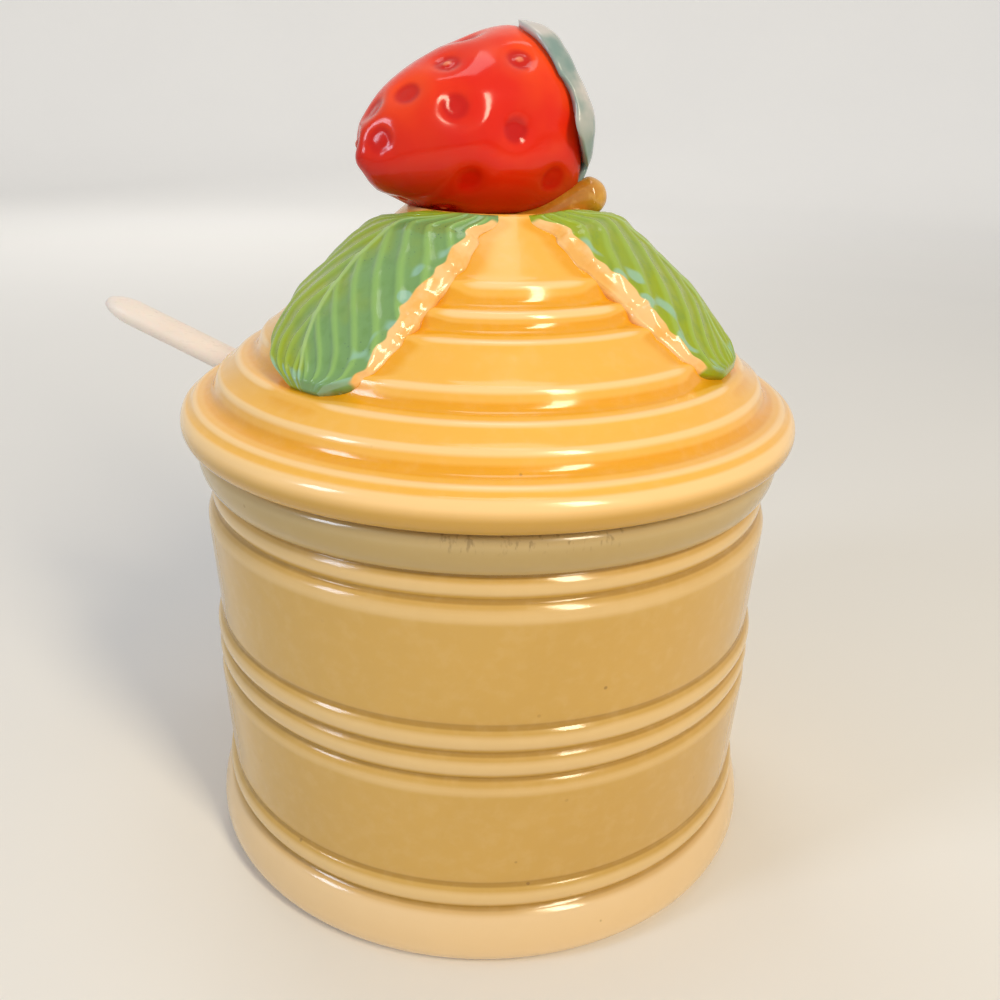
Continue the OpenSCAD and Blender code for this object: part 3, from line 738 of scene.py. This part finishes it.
def make_calyx():
    bm, angles, hollow = round_form(64, 216, "hollow")
    for v, down, turn in angles:
        outside = down <= 90
        t = down / 90 if outside else (180 - down) / 90
        around = SEPAL_START + turn
        short = (around + 180) % 360 - (SHORT_SIDE + 180)
        wave = abs(cos(radians(SEPALS / 2 * turn)))
        reach = SEPAL_INNER + (SEPAL_TIP - SEPAL_INNER) * wave ** 0.8 * (1 - bell(short, SHORT_WIDE))
        reach -= SHORT_BY * bell(short, SHORT_DEEP)
        near_top = smooth(1.6 - abs(around % 360 - NEAR_TOP) / NEAR_TOP_W)
        reach += (NEAR_TOP_REACH - reach) * near_top
        curled = bell(around % 360 - CURLED_SIDE, CURLED_W)
        curl = (TIP_CURL * wave + CURL * curled) * smooth((t - 0.4) * 1.7)
        rib = bell(1 - wave, RIB_W) * smooth(t * 2)
        if outside:
            lift = size("calyx_t") * (1 - smooth((t - 0.7) / 0.3) * 0.5) + RIB_H * rib
        else:
            lift = -size("calyx_t") / 2
        along = max(0.01, reach * t)
        place = berry_point(along, around, 0)
        v.co = berry_point(along, around, lift + curl + wander(*place, 5, 0.25)) * MM
        shaded = smooth(bell(wave, 0.5)) * smooth(t * 1.5) * (1 - 0.9 * near_top)
        v[hollow] = min(1, shaded + 0.7 * curled)
    return make_piece("calyx_sepals", bm, "lid", "calyx_glaze", calyx_material(), "calyx")


# The twig ends this far from the lid's axis, is as long, and dips into the lid under the strawberry
TWIG_REACH, TWIG_SLOPE, TWIG_BED = 16.7, 15, 1.3
TWIG_DIP, DIP_FROM, DIP_RUN = 2, 14, 9


def make_twig():
    bm, angles = round_form(48, 40)
    radius, slope = size("twig_d") / 2, radians(TWIG_SLOPE)
    end, low = TWIG_REACH - radius, heights()["top"] - TWIG_BED + radius
    for v, down, turn in angles:
        u = cos(radians(down))
        along = radius * u if u > 0 else TWIG_REACH * u
        r = radius * sqrt(max(0, 1 - u * u)) if u > 0 else radius * max(0, 1 - abs(u) ** 8) ** 0.125
        r *= 1 - 0.07 * smooth(-along / 5) + 0.05 * bell(along - 0.6, 0.9)
        across, up = r * cos(radians(turn)), r * sin(radians(turn))
        z = low + along * sin(slope) + up * cos(slope)
        place = Vector((end + along * cos(slope) - up * sin(slope), across, z))
        place.z -= TWIG_DIP * smooth((DIP_FROM - place.x) / DIP_RUN)
        v.co = (place + place.normalized() * wander(*place, 3, 0.2)) * MM
    return make_piece("twig", bm, "lid", "twig_glaze", twig_material(), "stem")


# The leaves, in millimetres and degrees

# Shares of the length, each with its share of the width
LEAF_WIDTHS = ((0, 0.3), (0.06, 0.56), (0.14, 0.8), (0.27, 0.97), (0.45, 1), (0.65, 0.98),
               (0.82, 0.84), (0.92, 0.62), (0.97, 0.42), (1, 0.16))
LEAF_ROOT, LEAF_THICK, LEAF_BED, LEAF_BOW = 12.8, 1.1, 1.3, 11
VEIN_SLANT, VEIN_SHARPNESS, MIDRIB_W, MIDRIB_RISE = 0.7, 4, 0.6, 1.3
LOBES, NOTCH_DEPTH = 9, 0.32
# Where the green paint ends across the leaf, as a share of its half width
PAINT_EDGE, PAINT_FAR_EDGE = 0.79, 0.93
LEAF_CROWNS = {"left": 1.2, "right": 2.0}
LEAF_WARMTHS = {"left": 0.1, "right": 0.9}
# For each leaf: its angle round the lid, the bow of its midrib, and which side faces the front
LEAVES = {"left": (-41, -LEAF_BOW, 1), "right": (66, LEAF_BOW, -1)}


def lookup(u, table):
    for (a, x), (b, y) in zip(table, table[1:]):
        if u <= b:
            return x + (y - x) * max(0, u - a) / (b - a)
    return table[-1][1]


@kept
def leaf_half(u):
    """Half the width of a leaf at a share of its length."""
    width = sum(lookup(min(1, max(0, u + k * 0.012)), LEAF_WIDTHS) for k in (-2, -1, 0, 1, 2)) / 5
    return size("leaf_w") / 2 * width


@kept
def leaf_middle(u, angle, bow):
    """The angle of the midrib round the lid at a share of the leaf's length."""
    return angle + bow * sin(pi * max(0, u) ** 0.8) - 2 * bow * (1 - smooth(u / 0.14))


def leaf_place(u, v, lift, angle, bow):
    """A place on a leaf, in millimetres, at shares of its length and half width."""
    r = LEAF_ROOT + (size("leaf_tip") - LEAF_ROOT) * u
    return on_cone(r, leaf_middle(u, angle, bow) + degrees(leaf_half(u) * v / r), lift)


def make_leaf(side):
    """A moulded leaf on the cone, with a midrib, slanting veins and a lobed margin."""
    angle, bow, inner = LEAVES[side]
    bm = bmesh.new()
    bmesh.ops.create_grid(bm, x_segments=170, y_segments=110, size=1)
    layers = [bm.verts.layers.float.new(name) for name in ("vein", "midrib", "bare", "cool", "side")]
    top = bmesh.ops.extrude_face_region(bm, geom=bm.faces[:])["geom"]
    raised = {v for v in top if isinstance(v, bmesh.types.BMVert)}
    spaces = bpy.context.scene.jam_pot_sizes.vein_count + 1
    for vert in bm.verts:
        u, v = (vert.co.x + 1) / 2, vert.co.y
        across, near = v * inner, abs(v)
        side_vein = abs(cos(pi * (u - VEIN_SLANT * near) * spaces)) ** VEIN_SHARPNESS
        uneven = 0.5 * noise.noise(Vector((u * 9, inner * 2.0, 4)))
        lobe = 0.5 + 0.5 * cos(2 * pi * ((u + 0.05) * LOBES + uneven))
        notch = NOTCH_DEPTH * (1 - lobe) * smooth(u / 0.1) * smooth((near - 0.6) / 0.4) / leaf_half(u)
        midrib = bell(v * size("leaf_w") / 2, MIDRIB_W)
        edge = PAINT_EDGE + 0.06 * smooth((u - 0.45) / 0.4) + 0.02 * lobe
        edge += 0.07 * noise.noise(Vector((u * 5, inner * 5.0, 0)))
        painted = 1 - smooth((across - edge) / 0.07) * smooth(u / 0.08) * (1 - smooth((u - 0.9) / 0.06))
        painted = min(painted, 1 - smooth((-across - PAINT_FAR_EDGE) / 0.04))
        fade_out = smooth((0.98 - near) / 0.14) * smooth(u / 0.06) * smooth((1 - u) / 0.06)
        margin = smooth((across - edge) / 0.16)
        lift = LEAF_THICK + LEAF_CROWNS[side] * (1 - v * v) * smooth((1 - u) / 0.4)
        lift += size("vein_h") * fade_out * max(side_vein, MIDRIB_RISE * midrib)
        lift += margin * (0.05 * lobe - 0.45) + 0.02 * smooth((near - 0.85) / 0.1) * lobe
        rounding = max(smooth((near - 0.9) / 0.1), smooth((u - 0.965) / 0.035), smooth((0.03 - u) / 0.03))
        lift *= 1 - 0.75 * rounding ** 2
        v *= 1 - notch
        lift *= 0.45 + 0.55 * smooth(u / 0.2)
        if vert in raised:
            place = leaf_place(u, v, lift, angle, bow)
            vert.co = leaf_place(u, v, lift + wander(*place, 4, 0.22), angle, bow) * MM
        else:
            vert.co = leaf_place(u, v, -LEAF_BED, angle, bow) * MM
        pools = max(0, noise.noise(Vector((u * 13, v * 8, inner * 3.0))) * 3)
        cool = pools * max(smooth((u - 0.88) / 0.08), smooth((across - 0.58) / 0.15) * smooth(u * 3))
        amounts = (side_vein * fade_out, midrib * fade_out, 1 - painted, cool, across)
        for layer, amount in zip(layers, amounts):
            vert[layer] = amount
    material = leaf_material(f"leaf_{side}_green", LEAF_WARMTHS[side])
    return make_piece(f"leaf_{side}_painted", bm, "lid", "leaf_glaze", material, f"leaf_{side}")


# The pot and the lid: steps and rounding of their profiles, and segments round them

POT_STEP, POT_SOFT, POT_SEGMENTS = 0.5, 0.22, 176
LID_STEP, LID_SOFT, LID_SEGMENTS = 0.42, 0.2, 192
LEAF_POOL_W, LEAF_POOL = 2.2, 0.9
# The spoon's notch: its angle from +x, the play beside the handle, and the cutter's height and start
NOTCH_ANGLE, NOTCH_PLAY, CUTTER_H, CUTTER_BELOW = 161.5, 1.4, 27, 6


def beside_leaves(place):
    """1 where a place on the lid, in metres, is under a leaf, and 0 a few millimetres from one."""
    r, turn = hypot(place.x, place.y) / MM, degrees(atan2(place.x, -place.y))
    near = 0
    for angle, bow, _ in LEAVES.values():
        u = (r - LEAF_ROOT) / (size("leaf_tip") - LEAF_ROOT)
        past = max(0, u - 1) * (size("leaf_tip") - LEAF_ROOT)
        inside = min(1, max(0, u))
        off = radians(abs(turn - leaf_middle(inside, angle, bow))) * r - leaf_half(inside)
        near = max(near, bell(hypot(max(0, off), past), LEAF_POOL_W))
    return near


def make_pot():
    bm = turned(softened(pot_profile(), POT_STEP, POT_SOFT), POT_STEP, POT_SEGMENTS)
    material = turned_glaze("pot_cream_glaze", "pot_glaze", "pot_pool", "pot_thin", 0.6, pot_marks)
    return make_piece("pot_glazed", bm, "pot", "pot_glaze", material, "pot")


def make_notch_cutter():
    """The spoon's way out: open through the rim, and cut into the locating ring below."""
    h, lid_r, _, _, _ = lid_sizes()
    width = size("handle_w") + 2 * NOTCH_PLAY
    mouth_r, collar_r = radii()["mouth"], radii()["collar"]
    eye = (mouth_r + collar_r) / 2
    roof = spoon_path()["cross_z"] + size("handle_t") / 2 + NOTCH_PLAY
    start, base = mouth_r - PLUG_PLAY - 2 * PLUG_T, h["seat"] - CUTTER_BELOW
    turn = Matrix.Rotation(radians(NOTCH_ANGLE), 4, "Z")
    middle = Matrix.Translation((eye * MM, 0, (base + CUTTER_H / 2) * MM))
    bm = bmesh.new()
    bmesh.ops.create_cone(bm, cap_ends=True, segments=48, radius1=width / 2 * MM, radius2=width / 2 * MM,
                          depth=CUTTER_H * MM, matrix=turn @ middle)
    for low, high in (((eye, base), (eye + lid_r, base + CUTTER_H)), ((start, base), (eye, roof))):
        middle = Matrix.Translation(((low[0] + high[0]) / 2 * MM, 0, (low[1] + high[1]) / 2 * MM))
        scale = Matrix.Diagonal(((high[0] - low[0]) * MM, width * MM, (high[1] - low[1]) * MM, 1))
        bmesh.ops.create_cube(bm, size=1, matrix=turn @ middle @ scale)
    return placed("notch_cutter", bm)


def make_lid():
    """The stepped lid, its glaze pooled round the leaves, with the spoon's notch cut out."""
    bm = turned(softened(lid_profile(), LID_STEP, LID_SOFT), LID_STEP, LID_SEGMENTS)
    pool = bm.verts.layers.float["pool"]
    cone_z = (heights()["cone"] - 1) * MM
    for v in bm.verts:
        if v.co.z > cone_z and v.normal.z > 0:
            v[pool] = max(v[pool], min(1.0, v[pool] + LEAF_POOL * beside_leaves(v.co)))
    material = turned_glaze("lid_honey_glaze", "lid_glaze", "lid_pool", "lid_thin", 0.9, lid_marks)
    lid = make_piece("lid_glazed", bm, "lid", "lid_glaze", material, "lid")
    cutter = make_notch_cutter()
    cut = lid.modifiers.new("notch", "BOOLEAN")
    cut.object, cut.operation, cut.solver = cutter, "DIFFERENCE", "MANIFOLD"
    shaped = bpy.data.meshes.new_from_object(lid.evaluated_get(bpy.context.evaluated_depsgraph_get()))
    lid.modifiers.clear()
    lid.data = shaped
    bpy.data.objects.remove(cutter)
    shaped.set_sharp_from_angle(angle=radians(50))
    return lid


# The spoon: slopes in degrees, lengths in millimetres

SPOON = {"slope": 19.5, "neck": 63, "bend": 44, "depth": 5.5, "thick": 2.2, "end": 20, "gap": 0.3, "out": 31}
# How soon the bowl opens, as a share of its length, and how slim the neck is beside the handle
BOWL_OPENS, NECK_SLIM, BLUNT = 0.22, 0.86, 0.3
SPOON_RINGS, SPOON_SIDES, SEARCH_STEPS = 180, 48, 600


@kept
def spoon_path(neck=0):
    """Where the handle crosses the rim, has its tip and starts to bend, and where the bowl starts."""
    slope = radians(SPOON["slope"])
    rise = (RIM_ROUND + SPOON["gap"] + size("handle_t") / 2) / cos(slope)
    cross_r, cross_z = radii()["mouth"] + RIM_ROUND, heights()["rim"] - RIM_ROUND + rise
    straight = SPOON["out"] + size("handle_w")
    return {"cross_z": cross_z, "tip_r": cross_r + SPOON["out"] * cos(slope),
            "tip_z": cross_z + SPOON["out"] * sin(slope), "straight": straight,
            "bowl": straight + SPOON["bend"] + neck}


def spoon_slope(s, path):
    if s < path["bowl"]:
        bent = smooth((s - path["straight"]) / SPOON["bend"])
        return SPOON["slope"] + (SPOON["neck"] - SPOON["slope"]) * bent
    return SPOON["neck"] + (SPOON["end"] - SPOON["neck"]) * smooth((s - path["bowl"]) / size("bowl_l"))


def spoon_section(s, path):
    """Width, depth and thickness of the spoon at a distance from its tip."""
    t = (s - path["bowl"]) / size("bowl_l")
    opened = smooth(t / BOWL_OPENS)
    w = size("handle_w")
    lower_left_shade = sqrt(max(0.0004, 1 - max(0, (w - s) / w) ** 2))
    half = sqrt(max(0.0016, 1 - (2 * max(0.1, t) - 1.08) ** 2 * 0.86 - 0.14 * max(0, t)))
    slim = w * (NECK_SLIM + (1 - NECK_SLIM) * smooth(1 - (s - path["straight"]) / SPOON["bend"]))
    thick = size("handle_t") * (1 - opened) + SPOON["thick"] * opened
    return (slim * (1 - opened) * lower_left_shade + size("bowl_w") * half * opened, SPOON["depth"] * opened * half,
            thick * (max(BLUNT, lower_left_shade) if t < 0 else 1))


def spoon_places(path, count):
    """Distance from the tip, radius, height and slope in even steps down the spoon."""
    step = (path["bowl"] + size("bowl_l")) / count
    places, r, z = [], path["tip_r"], path["tip_z"]
    for i in range(count + 1):
        places.append((step * i, r, z, radians(spoon_slope(step * i, path))))
        a = radians(spoon_slope(step * (i + 0.5), path))
        r, z = r - cos(a) * step, z - sin(a) * step
    return places


def make_spoon():
    """The spoon, its neck as long as it takes to bring the bowl down to the pot's floor."""
    path, low = spoon_path(), inf
    for s, _, z, a in spoon_places(path, SEARCH_STEPS):
        _, depth, thick = spoon_section(s, path)
        if s >= path["bowl"]:
            low = min(low, z - (depth + thick / 2) * cos(a))
    path = spoon_path((low - FLOOR_Z - SPOON["gap"]) / sin(radians(SPOON["neck"])))
    places = spoon_places(path, SPOON_RINGS)
    bm, angles = round_form(SPOON_RINGS, SPOON_SIDES)
    turn = Matrix.Rotation(radians(NOTCH_ANGLE), 4, "Z")
    for v, down, around in angles:
        s, r, z, slope = places[round(SPOON_RINGS * down / 180)]
        width, depth, thick = spoon_section(s, path)
        a = radians(around)
        across = width / 2 * cos(a)
        up = -depth * sin(a) ** 2 + thick / 2 * sin(a)
        v.co = turn @ (Vector((r - up * sin(slope), across, z + up * cos(slope))) * MM)
    return make_piece("spoon_cream", bm, "spoon", "spoon_plastic", spoon_material(), "spoon")


# The stage, in metres and degrees

FLOOR_HALF_W, FLOOR_FRONT, BEND_Y, BEND_R, WALL_H = 2.5, -2.0, 0.9, 0.6, 2.4
MIDDLE = (0, 0, 0.06)
# For each lamp: its name, place, width, height, watts and colour, and whether glossy pieces mirror it
LAMPS = (
    ("key_right", (0.34, -0.48, 0.52), 0.12, 0.36, 3.25, (1, 0.87, 0.64), True),
    ("fill_left", (-0.62, -0.33, 0.43), 0.16, 0.22, 1.4, (0.7, 0.82, 1), True),
    ("top_soft", (0.05, 0.1, 0.9), 0.3, 0.3, 0.7, (1, 1, 1), True),
    ("back_soft", (-0.3, 0.72, 0.5), 0.5, 0.4, 1.5, (1, 0.98, 0.95), False),
)
WORLD_COLOUR, WORLD_STRENGTH, WORLD_SEEN = (0.95, 0.97, 1, 1), 0.4, 0.22
CAMERA_PLACE, CAMERA_LENS, CAMERA_SENSOR = (-0.0006, -0.15321, 0.11830), 36, 36
CAMERA_TURNS = ((-1.02, "Z"), (67.37, "X"), (1.51, "Z"))
CLIP_NEAR, CLIP_FAR = 0.01, 20


def softbox(name, place, width, height, power, light, mirrored):
    """A soft lamp turned to the pot's middle, hidden from the camera."""
    data = bpy.data.lights.new(name, "AREA")
    data.shape, data.size, data.size_y, data.energy, data.color = "RECTANGLE", width, height, power, light
    lamp = linked(name, data)
    lamp.location = place
    lamp.visible_camera, lamp.visible_glossy = False, mirrored
    lamp.rotation_euler = (Vector(MIDDLE) - Vector(place)).to_track_quat("-Z", "Y").to_euler()


def make_stage():
    scene = bpy.context.scene
    bend = [radians(a) for a in range(6, 91, 6)]
    path = [(FLOOR_FRONT, 0.0), (BEND_Y, 0.0)]
    path += [(BEND_Y + BEND_R * sin(a), BEND_R - BEND_R * cos(a)) for a in bend]
    path.append((BEND_Y + BEND_R, WALL_H))
    bm = bmesh.new()
    row = [bm.verts.new((-FLOOR_HALF_W, y, z)) for y, z in path]
    edges = [bm.edges.new(pair) for pair in zip(row, row[1:])]
    swept = bmesh.ops.extrude_edge_only(bm, edges=edges)["geom"]
    far_row = [v for v in swept if isinstance(v, bmesh.types.BMVert)]
    bmesh.ops.translate(bm, vec=(2 * FLOOR_HALF_W, 0, 0), verts=far_row)
    bmesh.ops.recalc_face_normals(bm, faces=bm.faces)
    if bm.faces[:][0].normal.z < 0:
        bmesh.ops.reverse_faces(bm, faces=bm.faces)
    floor = placed("floor", bm)
    floor.data.shade_smooth()
    floor.data.materials.append(stage_material("floor_paper", 236, 233, 228))

    scene.world = bpy.data.worlds.new("studio")
    scene.world.use_nodes = True
    tree = scene.world.node_tree
    background = tree.nodes["Background"].inputs
    background["Color"].default_value = WORLD_COLOUR
    strength = maths(tree, "ADD", times(tree, seen_ray(tree), WORLD_SEEN), WORLD_STRENGTH)
    tree.links.new(strength, background["Strength"])
    for lamp in LAMPS:
        softbox(*lamp)

    data = bpy.data.cameras.new("camera")
    data.sensor_width, data.lens = CAMERA_SENSOR, CAMERA_LENS
    data.clip_start, data.clip_end = CLIP_NEAR, CLIP_FAR
    scene.camera = linked("camera", data)
    turn = Matrix.Translation(CAMERA_PLACE)
    for angle, axis in CAMERA_TURNS:
        turn = turn @ Matrix.Rotation(radians(angle), 4, axis)
    scene.camera.matrix_world = turn
    scene.view_settings.view_transform = "Standard"


def operator(name, label, text, *makers):
    """An operator that makes one piece or group of pieces."""
    def execute(self, context):
        for function in KEPT:
            function.cache_clear()
        for maker in makers:
            maker()
        return {"FINISHED"}
    return type(f"JAMPOT_OT_{name}", (bpy.types.Operator,), {
        "__doc__": text, "bl_idname": f"jampot.{name}", "bl_label": label,
        "bl_options": {"REGISTER", "UNDO"}, "execute": execute})


OPERATORS = (
    operator("stage", "Stage", "Adds the floor, the lamps and the camera", make_stage),
    operator("pot", "Pot", "Adds the turned pot with its beads and bands", make_pot),
    operator("lid", "Lid", "Adds the stepped lid with its spoon notch", make_lid),
    operator("strawberry", "Strawberry", "Adds the strawberry knob", make_strawberry),
    operator("calyx", "Calyx and twig", "Adds the calyx and the twig", make_calyx, make_twig),
    operator("leaves", "Leaves", "Adds the two moulded leaves",
             functools.partial(make_leaf, "left"), functools.partial(make_leaf, "right")),
    operator("spoon", "Spoon", "Adds the loose spoon", make_spoon),
)


class JAMPOT_PT_panel(bpy.types.Panel):
    """Lists the pieces of the jam pot with their sizes and colours"""
    bl_idname = "JAMPOT_PT_panel"
    bl_label = "Jam Pot"
    bl_space_type = "VIEW_3D"
    bl_region_type = "UI"
    bl_category = "Jam Pot"

    def draw(self, context):
        column = self.layout.column(align=True)
        for made in OPERATORS:
            column.operator(made.bl_idname)
        for group in (context.scene.jam_pot_sizes, context.scene.jam_pot_colours):
            column = self.layout.column(align=True)
            for name in group.__annotations__:
                column.prop(group, name)


CLASSES = (JamPotSizes, JamPotColours, *OPERATORS, JAMPOT_PT_panel)


def register():
    for made in CLASSES:
        bpy.utils.register_class(made)
    bpy.types.Scene.jam_pot_sizes = PointerProperty(type=JamPotSizes)
    bpy.types.Scene.jam_pot_colours = PointerProperty(type=JamPotColours)


def unregister():
    del bpy.types.Scene.jam_pot_colours
    del bpy.types.Scene.jam_pot_sizes
    for made in reversed(CLASSES):
        bpy.utils.unregister_class(made)


def main():
    """Makes every piece and writes down how large the part and the scene are."""
    register()
    for name in ("stage", "pot", "lid", "strawberry", "calyx", "leaves", "spoon"):
        getattr(bpy.ops.jampot, name)()


if __name__ == "__main__":
    main()
